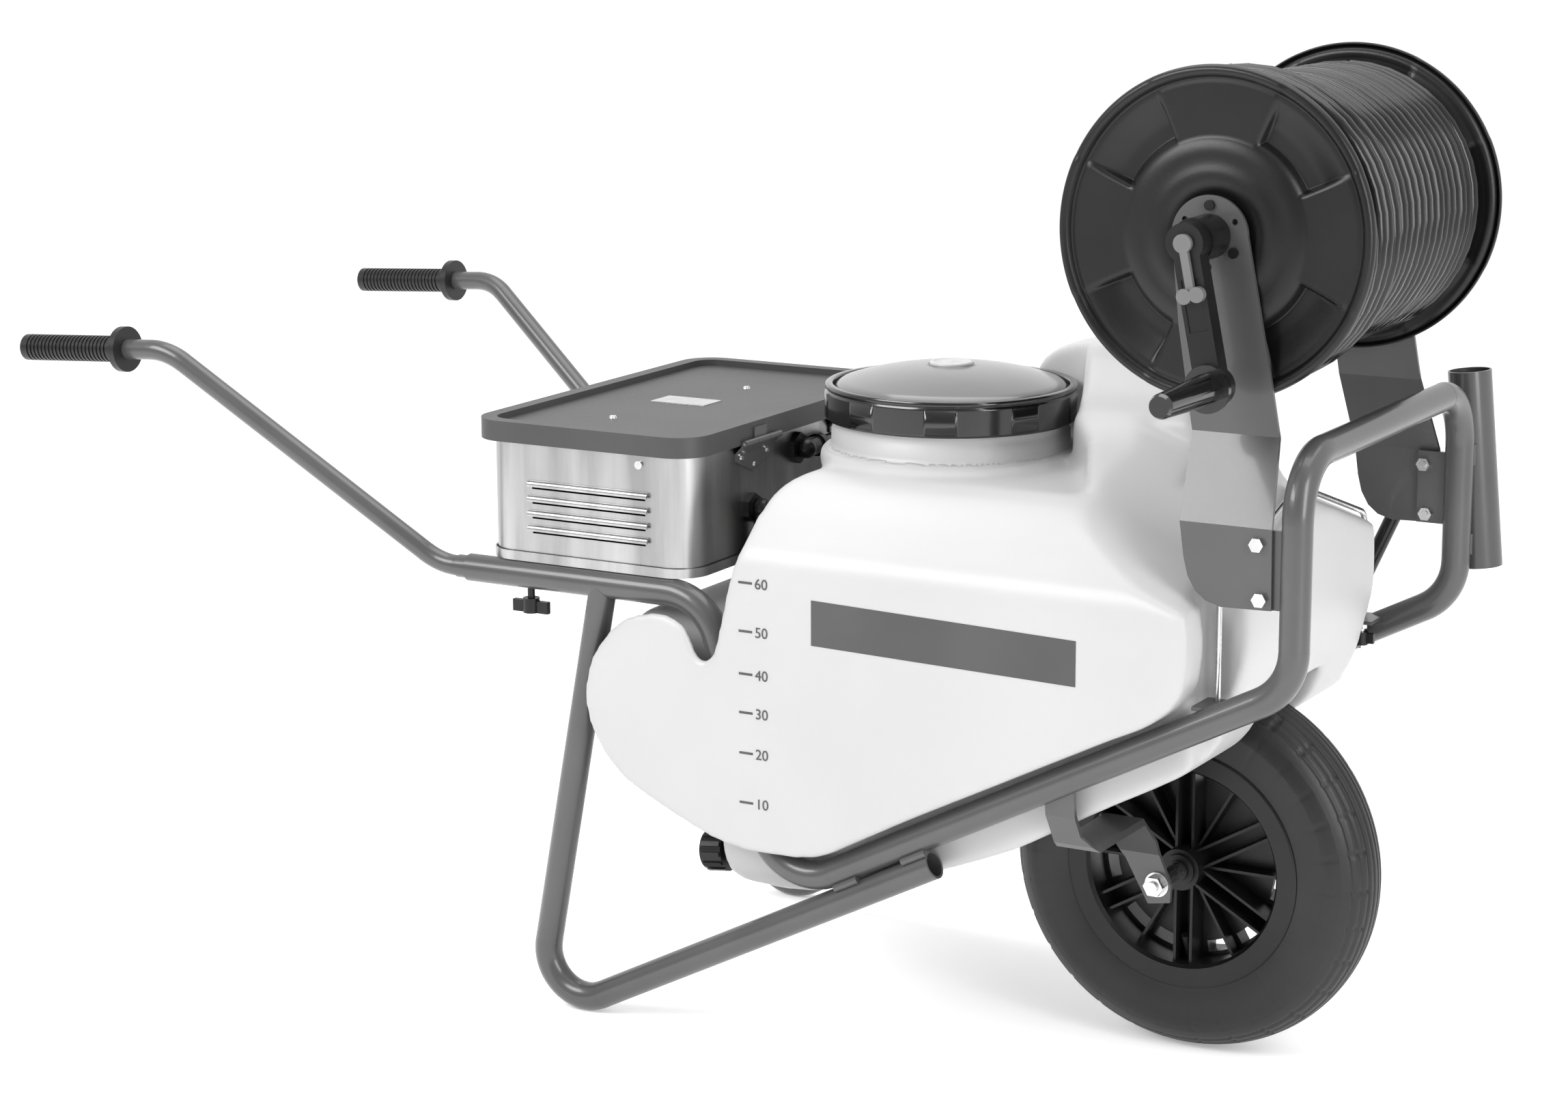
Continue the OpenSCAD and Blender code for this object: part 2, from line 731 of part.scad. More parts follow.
module tie_rod_nuts() {
  color("silver")
    mirror_y()
      difference() {
        translate([rod_x, rod_y, rod_lug_z - 6.1]) hex(10, 5);
        translate([rod_x, rod_y, rod_lug_z - 10]) cylinder(d = rod_d + 0.1, h = 12);
      }
}
module tie_rod_wing_nut() {
  color("black")
    translate([rod_x, rod_y, rod_lug_z - 24])
      difference() {
        union() {
          cylinder(d = 14, h = 14);
          translate([-14, -2.5, 2]) cube([28, 5, 11]);
        }
        translate([0, 0, -1]) cylinder(d = rod_d + 0.1, h = 20);
      }
}

// ---------- pump box ----------
box_r = 32;
lid_over = [8, 16, 8];
pan_t = 2;
rim_z = lid_z;
lid_h = 22;
body_top = lid_z + 13;
module box_pan() {
  color("black")
    difference() {
      rbox(box_rear - 3, box_front + 3, box_half_w + 3, pan_z, pan_z + 10, box_r + 3);
      rbox(box_rear - 1.4, box_front + 1.4, box_half_w + 1.4, pan_z + pan_t, pan_z + 20,
        box_r + 1.4);
      for (s = [-1, 1])
        translate([wing_x, s * side_y, pan_z - 1]) cylinder(d = screw_hole, h = 10);
      translate([-560, 120, pan_z - 1]) cylinder(d = 30, h = 10);
    }
}
louvre_n = 4;
louvre_x0 = -674;
louvre_x1 = -525;
module louvre(z) {
  translate([0, -box_half_w - 0.3, z])
    rotate([0, 90, 0])
      translate([0, 0, louvre_x0])
        cylinder(d = 9, h = louvre_x1 - louvre_x0, $fn = 24);
}
module box_body() {
  color("dimgray")
    difference() {
      union() {
        difference() {
          rbox(box_rear, box_front, box_half_w, pan_z + pan_t + 0.1, body_top, box_r);
          rbox(box_rear + sheet, box_front - sheet, box_half_w - sheet, pan_z, body_top + 1,
            box_r - sheet);
          for (i = [0 : louvre_n - 1])
            translate([louvre_x0 + 4, -box_half_w - 5, 523 + i * 16])
              cube([louvre_x1 - louvre_x0 - 8, 10, 3]);
        }
        for (i = [0 : louvre_n - 1])
          intersection() {
            translate([0, 0, 2]) difference() {
              louvre(526 + i * 16);
              translate([0, sheet * 0.9, -1.2]) louvre(525 + i * 16);
            }
            translate([louvre_x0, -box_half_w - 8, 526 + i * 16])
              cube([louvre_x1 - louvre_x0, 8.5, 12]);
          }
      }
      translate([box_front - 8, -10, 597]) rotate([0, 90, 0]) cylinder(d = 22.2, h = 20);
      translate([box_front - 8, suction_y, suction_z]) rotate([0, 90, 0])
        cylinder(d = 20.2, h = 20);
      translate([-536, -box_half_w - 5, 609]) rotate([-90, 0, 0]) cylinder(d = 5.1, h = 20);
      for (y = hinge_ys)
        for (p = rivet_at)
          translate([box_front - 8, y + p[0], p[1]]) rotate([0, 90, 0])
            cylinder(d = 4.1, h = 20);
    }
}
module box_lid() {
  color("dimgray")
    difference() {
      rbox(box_rear - lid_over[1], box_front + lid_over[0], box_half_w + lid_over[2], rim_z,
        rim_z + lid_h, box_r + 6);
      rbox(box_rear - lid_over[1] + sheet, box_front + lid_over[0] - sheet,
        box_half_w + lid_over[2] - sheet, rim_z - 1, rim_z + 13.4, box_r + 6 - sheet);
      difference() {
        rbox(box_rear - lid_over[1] + sheet, box_front + lid_over[0] - sheet,
          box_half_w + lid_over[2] - sheet, rim_z, rim_z + lid_h - sheet, box_r + 6 - sheet);
        rbox(box_rear - lid_over[1] + 15, box_front + lid_over[0] - 15,
          box_half_w + lid_over[2] - 15, rim_z - 1, rim_z + lid_h, box_r - 8);
      }
      rbox(box_rear - lid_over[1] + 16.5, box_front + lid_over[0] - 16.5,
        box_half_w + lid_over[2] - 16.5, rim_z + 15, rim_z + lid_h + 2, box_r - 9);
      for (p = lid_screw_at)
        translate([p[0], p[1], rim_z]) cylinder(d = 5.1, h = 40);
    }
}
lid_screw_at = [[-631, -132], [-600, 100]];
hinge_ys = [-102, 102];
hinge_w = 76;
rivet_at = [[-27, 605], [27, 605], [0, 594]];
pin_x = box_front + 12;
pin_z = rim_z + 2;
knuckle_d = 7;
hinge_bore = 3.1;
module knuckle(y0, l) {
  translate([pin_x, y0 + l, pin_z]) rotate([90, 0, 0]) cylinder(d = knuckle_d, h = l);
}
module knuckle_bore(y) {
  translate([pin_x, y + hinge_w, pin_z]) rotate([90, 0, 0])
    cylinder(d = hinge_bore, h = 2 * hinge_w);
}
module box_hinges() {
  color("black")
    for (y = hinge_ys)
      difference() {
        union() {
          for (k = [-hinge_w / 2, 13])
            knuckle(y + k, hinge_w / 2 - 13);
          intersection() {
            side_plate([[box_front + 0.1, 584], [box_front + 2.1, 584],
              [box_front + 2.1, 608], [pin_x - 0.5, pin_z - 3], [pin_x - 1.5, pin_z - 0.8],
              [box_front + 0.1, 610]], y - hinge_w / 2, y + hinge_w / 2);
            front_plate([[y - hinge_w / 2, 700], [y - hinge_w / 2, 602], [y, 586],
              [y + hinge_w / 2, 602], [y + hinge_w / 2, 700]], box_front - 10, pin_x + 10);
          }
        }
        translate([pin_x, y + 13, pin_z]) rotate([90, 0, 0]) cylinder(d = 8.2, h = 26);
        knuckle_bore(y);
        for (p = rivet_at)
          translate([box_front - 8, y + p[0], p[1]]) rotate([0, 90, 0])
            cylinder(d = 4.1, h = 20);
      }
}
module lid_hinge_leaves() {
  color("black")
    for (y = hinge_ys)
      difference() {
        union() {
          knuckle(y - 12.6, 25.2);
          side_plate([[pin_x - 3.9, pin_z + 1], [pin_x - 1.9, pin_z - 1],
            [pin_x - 1.9, pin_z + 14], [pin_x - 3.9, pin_z + 14]], y - 12.6, y + 12.6);
        }
        knuckle_bore(y);
      }
}
module hinge_pins() {
  color("silver")
    for (y = hinge_ys)
      translate([pin_x, y + hinge_w / 2, pin_z]) rotate([90, 0, 0])
        cylinder(d = 3, h = hinge_w);
}
module box_rivets() {
  color("silver") {
    for (y = hinge_ys)
      for (p = rivet_at)
        translate([box_front - sheet - 1, y + p[0], p[1]])
          rotate([0, 90, 0]) {
            cylinder(d = 4, h = sheet + 3.2);
            translate([0, 0, sheet + 3.15]) cylinder(d1 = 7, d2 = 5, h = 1.6);
          }
    translate([-536, -box_half_w - 2.2, 609]) rotate([-90, 0, 0]) {
      cylinder(d = 9, h = 2.2);
      cylinder(d = 5, h = 8);
    }
  }
}
module lid_screws() {
  color("silver")
    for (p = lid_screw_at)
      translate([p[0], p[1], rim_z + 15]) {
        cylinder(d1 = 9, d2 = 7, h = 2.4);
        translate([0, 0, -5]) cylinder(d = 5, h = 6);
      }
}
module lid_plate() {
  color("silver")
    translate([-616 - 34, -5 - 20, rim_z + 15.02]) cube([68, 40, 0.8]);
}
motor_z = 548;
module pump_motor() {
  color("gray") {
    translate([-640, 10, motor_z]) rotate([-90, 0, 0]) cylinder(d = 84, h = 120);
    translate([-640, 130, motor_z]) rotate([-90, 0, 0]) cylinder(d = 70, h = 12);
    translate([-675, 25, pan_z + pan_t + 0.05]) cube([70, 80, 20]);
  }
}
module pump_head() {
  color("black") {
    difference() {
      translate([-685, -80, pan_z + pan_t + 0.05]) cube([90, 89.8, 96]);
      translate([-640, -90, motor_z]) rotate([-90, 0, 0]) cylinder(d = 20, h = 40);
    }
    translate([-640, -90, motor_z]) rotate([-90, 0, 0]) cylinder(d = 60, h = 12);
  }
}
module battery() {
  color([0.15, 0.15, 0.15]) {
    translate([-575, 30, pan_z + pan_t + 0.05]) cube([66, 152, 92]);
    for (y = [48, 164])
      translate([-542, y, 560]) cylinder(d = 12, h = 36);
  }
}
module wing_screw(s) {
  color("black")
    translate([wing_x, s * side_y, 0]) {
      translate([0, 0, rail_z - tr - 26]) {
        cylinder(d = 18, h = 16);
        translate([-22, -3, 0]) cube([44, 6, 13]);
      }
      translate([0, 0, rail_z - tr - 12])
        cylinder(d = 8, h = pan_z - rail_z + tr + 12 + pan_t - 0.3);
    }
}

// ---------- hoses ----------
suction_y = -107;
suction_z = 548;
suction_d = 19;
port_x = -405;
port_z = 455;
module hose_fittings() {
  color("black") {
    outlet_fitting();
    suction_elbow();
  }
}
module outlet_fitting() {
    translate([box_front - 4, -10, 597]) {
      rotate([0, 90, 0]) {
        cylinder(d = 22, h = 12);
        translate([0, 0, 4.1]) hex(30, 7);
      }
      translate([18, 0, 0]) rotate([-90, 0, 0]) cylinder(d = 20, h = 34);
      translate([18, 0, 0]) sphere(d = 22);
      translate([18, 22, 0]) rotate([-90, 0, 0]) cylinder(d = 25, h = 8);
    }
}
module suction_elbow() {
    translate([box_front - 4, suction_y, suction_z]) {
      rotate([0, 90, 0]) {
        cylinder(d = 20, h = 12);
        translate([0, 0, 4.1]) hex(28, 6);
      }
      translate([18, 0, 0]) sphere(d = 22);
      translate([18, 0, 0]) mirror([0, 0, 1]) cylinder(d = 18, h = 20);
    }
}
module suction_hose() {
  color("black")
    bent([[box_front + 14, suction_y, suction_z - 20.1], [box_front + 14, suction_y, port_z],
      [port_x, suction_y, port_z]], 26, suction_d);
}
feed_line = [[reel_x, 254, reel_z - 20.2], [reel_x, 254, 800], [118, 262, 660],
  [112, 271, 540], [50, 271, 400], [-120, 271, 330], [-300, 271, 420], [-440, 271, 518],
  [-440, 190, 530], [-440, 90, 545], [-461, 75, 597], [-461, 24.2, 597]];
module reel_feed_hose() {
  color("black") bent(feed_line, 26, hose_d);
}

// ---------- hose reel ----------
module on_reel() { translate([reel_x, 0, reel_z]) children(); }
// arm outlines: seen from the side, and seen from the front
arm_side = [[43, reel_z], [52, 793], [68.5, 691], [74, 610], [78.5, 577], [83, 559],
  [91, 545], [102, 536], [118, 531.5], [169, 533], [168, 610], [157.5, 693], [149, 740], [121, reel_z]];
arm_front = [[arm_in, 930], [arm_in, 691], [plate_y + 0.1, 610], [plate_y + 0.1, 525],
  [plate_y + 0.1 + arm_t, 525], [plate_y + 0.1 + arm_t, 611.5], [arm_in + arm_t, 692.5],
  [arm_in + arm_t, 930]];
arm_top_r = 39;
fix_r = 29.4;
shaft_d = 25;
boss_d = 43;
boss_y = 237.7;
module arm_holes() {
  arm_bolt_holes();
  on_reel()
    translate([0, 300, 0])
      rotate([90, 0, 0]) {
        cylinder(d = boss_d + 0.1, h = 150);
        for (a = [30 : 60 : 330])
          rotate([0, 0, a]) translate([fix_r, 0, 0]) cylinder(d = 6.1, h = 150);
      }
}
module reel_arm(s) {
  color("dimgray")
    mirror([0, s < 0 ? 1 : 0, 0])
      difference() {
        intersection() {
          union() {
            side_plate(arm_side, 150, 260);
            on_reel() along_y(260) cylinder(r = arm_top_r, h = 110);
          }
          front_plate(arm_front, 30, 200);
        }
        arm_holes();
      }
}
module arm_bolts() {
  color("silver")
    mirror_y()
      for (p = arm_bolt_at)
        translate([p[0], plate_y + 0.1 + arm_t, p[1]]) {
          rotate([-90, 0, 0]) hex(13, 5.5);
          rotate([90, 0, 0]) cylinder(d = bolt_d, h = 17);
          translate([0, -arm_t - 0.1 - lug_t, 0]) rotate([90, 0, 0]) hex(13, 6.5);
        }
}
module bearing_flanges() {
  color("black")
    mirror_y()
      on_reel()
        difference() {
          union() {
            translate([0, arm_in - 0.1, 0]) rotate([90, 0, 0]) cylinder(r = 37, h = 3);
            translate([0, arm_in - 1, 0]) rotate([-90, 0, 0])
              cylinder(d = boss_d, h = boss_y - arm_in + 1);
            for (a = [90, 210, 330])
              rotate([0, -a, 0]) translate([fix_r, arm_in - 1, 0]) rotate([-90, 0, 0]) {
                cylinder(d = 6, h = arm_t + 2);
                translate([0, 0, arm_t + 1.05]) cylinder(d = 10, h = 3.4);
              }
          }
          along_y(300) cylinder(d = shaft_d + 0.1, h = 300);
        }
}
drum_r = 89;
flange_t = 3.5;
disc_y = 181;
module reel_drum() {
  color("black")
    on_reel() {
      rotate([90, 0, 0])
        rotate_extrude($fn = 96)
          translate([shaft_d / 2 - 5, -boss_y - 30]) square([5, 2 * boss_y + 43]);
      rotate([90, 0, 0])
        rotate_extrude($fn = 96)
          translate([drum_r - 4, -disc_y + flange_t + 0.1])
            square([4, 2 * disc_y - 2 * flange_t - 0.2]);
      mirror_y()
        along_y(disc_y - flange_t - 0.1)
          difference() {
            cylinder(r = drum_r - 2, h = 4);
            translate([0, 0, -1]) cylinder(d = shaft_d - 2, h = 6);
          }
    }
}
flange_r = flange_d / 2;
module reel_flange(s) {
  color("black")
    on_reel()
      mirror([0, s < 0 ? 0 : 1, 0])
        difference() {
          rotate([90, 0, 0])
            rotate_extrude($fn = 96)
              polygon([[shaft_d / 2 + 0.05, disc_y - flange_t], [flange_r - 12, disc_y - flange_t],
                [flange_r - 5, disc_y - 2], [flange_r, disc_y + 2],
                [flange_r, reel_half_w - 3], [flange_r - 3, reel_half_w],
                [flange_r - 7, reel_half_w - 1], [flange_r - 9, disc_y + 4],
                [flange_r - 14, disc_y + 1.5], [94, disc_y + 4], [89, disc_y + 6],
                [66, disc_y + 6.5], [62, disc_y + 5], [46, disc_y + 4],
                [44, disc_y + 2], [shaft_d / 2 + 0.05, disc_y + 2]]);
          for (a = [45 : 90 : 315])
            rotate([0, a, 0])
              translate([0, -disc_y + 1.2, 0])
                rotate([90, 0, 0])
                  rotate_extrude(angle = 44, start = -22, $fn = 96)
                    translate([96, 0]) square([42, 12]);
        }
}
turn_n = 20;
turn_pitch = 17.4;
core_turn_r = 134;
outer_turn_n = 4;
module hose_winding() {
  color("black")
    on_reel()
      rotate([90, 0, 0])
        rotate_extrude($fn = 96) {
          translate([drum_r + 0.1, -turn_n / 2 * turn_pitch + 0.2])
            square([core_turn_r - drum_r, turn_n * turn_pitch - 0.4]);
          for (i = [0 : turn_n - 1])
            translate([core_turn_r, (i - (turn_n - 1) / 2) * turn_pitch]) circle(d = hose_d, $fn = 12);
          for (i = [0 : outer_turn_n - 1])
            translate([core_turn_r + 14.3, (turn_n / 2 - 1 - i) * turn_pitch])
              circle(d = hose_d, $fn = 12);
        }
}
crank_a = 11.6;
hub_face = boss_y + 0.3;
arm_w = 27;
arm_h = 20;
module on_crank() {
  translate([reel_x, -hub_face, reel_z])
    rotate([90, 0, 0])
      rotate([0, 0, -90 + crank_a])
        children();
}
module crank_arm() {
  color("black")
    on_crank()
      difference() {
        union() {
          cylinder(r = 19, h = arm_h);
          difference() {
            translate([0, -arm_w / 2, 0]) cube([crank_r, arm_w, arm_h]);
            translate([26, -arm_w / 2 + 3, -1]) cube([crank_r - 50, arm_w - 6, arm_h - 4]);
            translate([34, -arm_w / 2 + 4, arm_h - 1]) cube([50, arm_w - 8, 4]);
          }
          translate([crank_r, 0, 0]) cylinder(r = 19, h = arm_h);
          translate([crank_r, 0, arm_h - 1]) cylinder(d = 10, h = knob_l - 4);
        }
        translate([0, 0, -1]) cylinder(d = shaft_d + 0.02, h = arm_h - 5);
        translate([0, 0, -1]) cylinder(d = 9, h = arm_h + 4);
      }
}
module crank_grip() {
  color("black")
    on_crank()
      translate([crank_r, 0, arm_h + 0.3])
        difference() {
          union() {
            cylinder(d = 46, h = 6);
            translate([0, 0, 5]) cylinder(d1 = 31, d2 = 24, h = knob_l - 13);
            translate([0, 0, knob_l - 8.2]) cylinder(d1 = 24, d2 = 20, h = 5);
          }
          translate([0, 0, -1]) cylinder(d = 10.1, h = knob_l - 3.5);
          for (a = [0 : 45 : 315])
            rotate([0, 0, a])
              translate([13.4, -1, 14]) cube([6, 2, 50]);
        }
}
latch_l = 55;
module crank_latch() {
  color("silver")
    on_crank() {
      translate([0, 0, 2]) cylinder(d = 8.9, h = arm_h + 2);
      translate([0, 0, arm_h + 0.3]) cylinder(d = 18, h = 5);
      translate([0, -4, arm_h + 0.4]) cube([latch_l - 8, 8, 5]);
      for (s = [-1, 1])
        translate([latch_l - 6, s * 6.5, arm_h + 0.5]) cylinder(d = 15, h = 7);
    }
}
module swivel_elbow() {
  color("gray")
    difference() {
      union() {
        on_reel() translate([0, boss_y + 0.3, 0]) rotate([-90, 0, 0]) cylinder(d = 38, h = 34);
        translate([reel_x, 254, reel_z - 20]) cylinder(d = 24, h = 20);
      }
      on_reel() translate([0, boss_y, 0]) rotate([-90, 0, 0])
        cylinder(d = shaft_d + 0.1, h = 30.6);
    }
}

module place() { translate([origin_x, origin_y, 0]) children(); }
place() rail(-1);  // frame_rail_right
place() rail(1);  // frame_rail_left
place() front_hoop();
place() leg(-1);  // leg_right
place() leg(1);  // leg_left
place() handle(-1);  // handle_right
place() handle(1);  // handle_left
place() grip(-1);  // grip_right
place() grip(1);  // grip_left
place() lance_holder();
place() frame_lugs();
place() weld_beads();
place() mirror([0, 1, 0]) wheel_bracket();  // wheel_bracket_right
place() wheel_bracket();  // wheel_bracket_left
place() axle_bolt();
place() axle_nuts();
place() tyre();
place() wheel_rim();
place() wheel_bushes();
place() tyre_valve();
place() tank();
place() tank_scale();
place() tank_panel();
place() cap_gasket();
place() cap_lid();
place() cap_vent();
place() cap_ring();
place() drain_cap();
place() tie_rod();
place() tie_rod_nuts();
place() tie_rod_wing_nut();
place() box_pan();
place() box_body();
place() box_lid();
place() box_hinges();
place() lid_hinge_leaves();
place() hinge_pins();
place() box_rivets();
place() lid_screws();
place() lid_plate();
place() pump_motor();
place() pump_head();
place() battery();
place() wing_screw(-1);  // wing_screw_right
place() wing_screw(1);  // wing_screw_left
place() hose_fittings();
place() suction_hose();
place() reel_feed_hose();
place() swivel_elbow();
place() reel_arm(-1);  // reel_arm_right
place() reel_arm(1);  // reel_arm_left
place() arm_bolts();
place() bearing_flanges();
place() reel_drum();
place() reel_flange(-1);  // reel_flange_right
place() reel_flange(1);  // reel_flange_left
place() hose_winding();
place() crank_arm();
place() crank_grip();
place() crank_latch();
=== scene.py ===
import json
import math

import bmesh
import bpy
from mathutils import Matrix, Vector, noise


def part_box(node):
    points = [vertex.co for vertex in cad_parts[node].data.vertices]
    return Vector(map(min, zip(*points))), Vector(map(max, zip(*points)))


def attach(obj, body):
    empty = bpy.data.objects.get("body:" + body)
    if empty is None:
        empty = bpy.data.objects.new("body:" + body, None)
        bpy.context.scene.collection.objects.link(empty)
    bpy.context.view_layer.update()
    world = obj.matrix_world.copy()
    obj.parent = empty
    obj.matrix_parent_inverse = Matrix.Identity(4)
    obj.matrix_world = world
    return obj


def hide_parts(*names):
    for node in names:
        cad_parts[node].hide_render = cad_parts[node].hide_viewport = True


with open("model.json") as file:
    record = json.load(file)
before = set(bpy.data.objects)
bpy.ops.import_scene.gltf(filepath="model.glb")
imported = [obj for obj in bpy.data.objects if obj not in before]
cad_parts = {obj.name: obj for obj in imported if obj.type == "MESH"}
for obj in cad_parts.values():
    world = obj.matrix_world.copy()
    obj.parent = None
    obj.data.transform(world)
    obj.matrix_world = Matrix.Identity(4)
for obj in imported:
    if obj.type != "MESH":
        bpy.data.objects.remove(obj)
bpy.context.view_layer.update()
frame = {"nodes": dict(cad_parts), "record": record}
NODES = frame["nodes"]

# ---------- places, worked out from the frame ----------
MM = 0.001
TYRE_LO, TYRE_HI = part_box("tyre")
AXLE = (TYRE_LO + TYRE_HI) / 2
REEL = (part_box("reel_flange_right")[0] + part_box("reel_flange_left")[1]) / 2
CAP_LO, CAP_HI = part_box("cap_lid")
RING_LO, RING_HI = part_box("cap_ring")
GASKET_LO, GASKET_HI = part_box("cap_gasket")
NECK = Vector(((CAP_LO.x + CAP_HI.x) / 2, (CAP_LO.y + CAP_HI.y) / 2, 0))
NECK_R = (GASKET_HI.x - GASKET_LO.x) / 2 + 0.0005
NECK_WALL = 0.005
NECK_BORE_R = NECK_R - NECK_WALL
NECK_TOP = GASKET_LO.z - 0.0003
COLLAR_TOP = 0.614
RING_R = NECK_R + 0.0085
UP = Vector((0, 0, 1))
LEFT = Vector((0, 1, 0))


def at(x, y, z):
    """A place in millimetres, forward, left and up from the ground under the axle."""
    return Vector((AXLE.x + x * MM, AXLE.y + y * MM, z * MM))


# ---------- materials ----------
def new_material(name):
    mat = bpy.data.materials.new(name)
    mat.use_nodes = True
    tree = mat.node_tree
    tree.nodes.clear()
    out = tree.nodes.new("ShaderNodeOutputMaterial")
    shader = tree.nodes.new("ShaderNodeBsdfPrincipled")
    tree.links.new(shader.outputs["BSDF"], out.inputs["Surface"])
    return mat, tree, shader


def noise_node(tree, scale, detail=4.0, stretch=(1, 1, 1)):
    coord = tree.nodes.new("ShaderNodeTexCoord")
    mapping = tree.nodes.new("ShaderNodeMapping")
    mapping.inputs["Scale"].default_value = stretch
    tex = tree.nodes.new("ShaderNodeTexNoise")
    tex.inputs["Scale"].default_value = scale
    tex.inputs["Detail"].default_value = detail
    tree.links.new(coord.outputs["Object"], mapping.inputs["Vector"])
    tree.links.new(mapping.outputs["Vector"], tex.inputs["Vector"])
    return tex


def ramp_between(tree, source, low, high, start=0.35, end=0.65):
    ramp = tree.nodes.new("ShaderNodeValToRGB")
    ramp.color_ramp.elements[0].position = start
    ramp.color_ramp.elements[0].color = (*low, 1)
    ramp.color_ramp.elements[1].position = end
    ramp.color_ramp.elements[1].color = (*high, 1)
    tree.links.new(source.outputs["Fac"], ramp.inputs["Fac"])
    return ramp


def range_of(tree, source, low, high):
    rng = tree.nodes.new("ShaderNodeMapRange")
    rng.inputs["To Min"].default_value = low
    rng.inputs["To Max"].default_value = high
    tree.links.new(source.outputs["Fac"], rng.inputs["Value"])
    return rng


def surface(name, tone, vary, rough, metallic=0.0, mottle=9.0, grain=420.0, bump=0.05,
            stretch=(1, 1, 1), bands=(1, 1, 1), coat=0.0, tint=(1, 1, 1), shine=0.5):
    """A finish with slow colour mottle, roughness that wanders and a fine grain."""
    mat, tree, shader = new_material(name)
    slow = noise_node(tree, mottle, 5.0, bands)
    low = [max(0.0, (tone - vary)) * t for t in tint]
    high = [(tone + vary) * t for t in tint]
    colour = ramp_between(tree, slow, low, high)
    tree.links.new(colour.outputs["Color"], shader.inputs["Base Color"])
    fine = noise_node(tree, grain, 3.0, stretch)
    rough_range = range_of(tree, fine, rough - 0.06, rough + 0.06)
    tree.links.new(rough_range.outputs["Result"], shader.inputs["Roughness"])
    bump_node = tree.nodes.new("ShaderNodeBump")
    bump_node.inputs["Strength"].default_value = bump
    bump_node.inputs["Distance"].default_value = 0.0004
    tree.links.new(fine.outputs["Fac"], bump_node.inputs["Height"])
    tree.links.new(bump_node.outputs["Normal"], shader.inputs["Normal"])
    shader.inputs["Metallic"].default_value = metallic
    shader.inputs["Coat Weight"].default_value = coat
    shader.inputs["Coat Roughness"].default_value = 0.10
    shader.inputs["Specular IOR Level"].default_value = shine
    return mat, shader


def make_materials():
    mats = {}
    mats["frame_paint"], _ = surface("frame_paint", 0.058, 0.005, 0.34, coat=0.35, bump=0.04)
    mats["box_steel"], _ = surface("box_steel", 0.40, 0.10, 0.30, metallic=1.0, mottle=5.0,
                                   bands=(5, 5, 0.5), grain=12.0, stretch=(30, 30, 0.8), bump=0.10)
    mats["lid_paint"], _ = surface("lid_paint", 0.044, 0.004, 0.46, bump=0.10)
    mats["tank_plastic"], tank = surface("tank_plastic", 0.45, 0.010, 0.40, mottle=4.0,
                                         grain=260.0, bump=0.03)
    tank.inputs["Subsurface Weight"].default_value = 0.12
    tank.inputs["Subsurface Radius"].default_value = (0.03, 0.03, 0.028)
    mats["black_plastic"], _ = surface("black_plastic", 0.006, 0.002, 0.34, bump=0.12, shine=0.34)
    mats["gloss_black"], _ = surface("gloss_black", 0.006, 0.002, 0.18, coat=0.5, bump=0.03)
    mats["zinc"], _ = surface("zinc", 0.62, 0.06, 0.26, metallic=1.0, mottle=60.0, bump=0.05)
    mats["grey_plastic"], _ = surface("grey_plastic", 0.12, 0.010, 0.22, coat=0.4, bump=0.03)
    mats["tyre_rubber"], _ = surface("tyre_rubber", 0.010, 0.003, 0.42, grain=600.0, bump=0.12,
                                     shine=0.42)
    mats["grip_rubber"], _ = surface("grip_rubber", 0.008, 0.002, 0.38, bump=0.10, shine=0.45)
    mats["hose_rubber"], _ = surface("hose_rubber", 0.005, 0.002, 0.20, grain=500.0, bump=0.04,
                                     shine=0.40)
    mats["motor_metal"], _ = surface("motor_metal", 0.45, 0.04, 0.5, metallic=1.0, bump=0.2)
    mats["brass"], _ = surface("brass", 0.55, 0.04, 0.3, metallic=1.0, tint=(1.0, 0.78, 0.42))
    mats["print_grey"], _ = surface("print_grey", 0.055, 0.005, 0.5, bump=0.02)
    return mats


MATS = make_materials()
SLOT_OF = {s["node"]: s["material_slot"] for s in frame["record"]["subparts"]}


def paint(obj, material):
    if not obj.data.materials:
        obj.data.materials.append(material)
    for s in obj.material_slots:
        s.material = material


for node_name, node_obj in NODES.items():
    paint(node_obj, MATS[SLOT_OF[node_name]])


# ---------- building help ----------
def add_object(name, data):
    obj = bpy.data.objects.new(name, data)
    bpy.context.collection.objects.link(obj)
    return obj


def smooth_shade(obj):
    for p in obj.data.polygons:
        p.use_smooth = True


def add_mesh(name, verts, faces, material):
    mesh = bpy.data.meshes.new(name)
    mesh.from_pydata([tuple(v) for v in verts], [], faces)
    mesh.validate()
    obj = add_object(name, mesh)
    smooth_shade(obj)
    paint(obj, MATS[material])
    return obj


def apply_modifiers(obj):
    """Leaves the object with the mesh that its modifiers make."""
    depsgraph = bpy.context.evaluated_depsgraph_get()
    made = bpy.data.meshes.new_from_object(obj.evaluated_get(depsgraph))
    old = obj.data
    obj.modifiers.clear()
    obj.data = made
    bpy.data.meshes.remove(old)


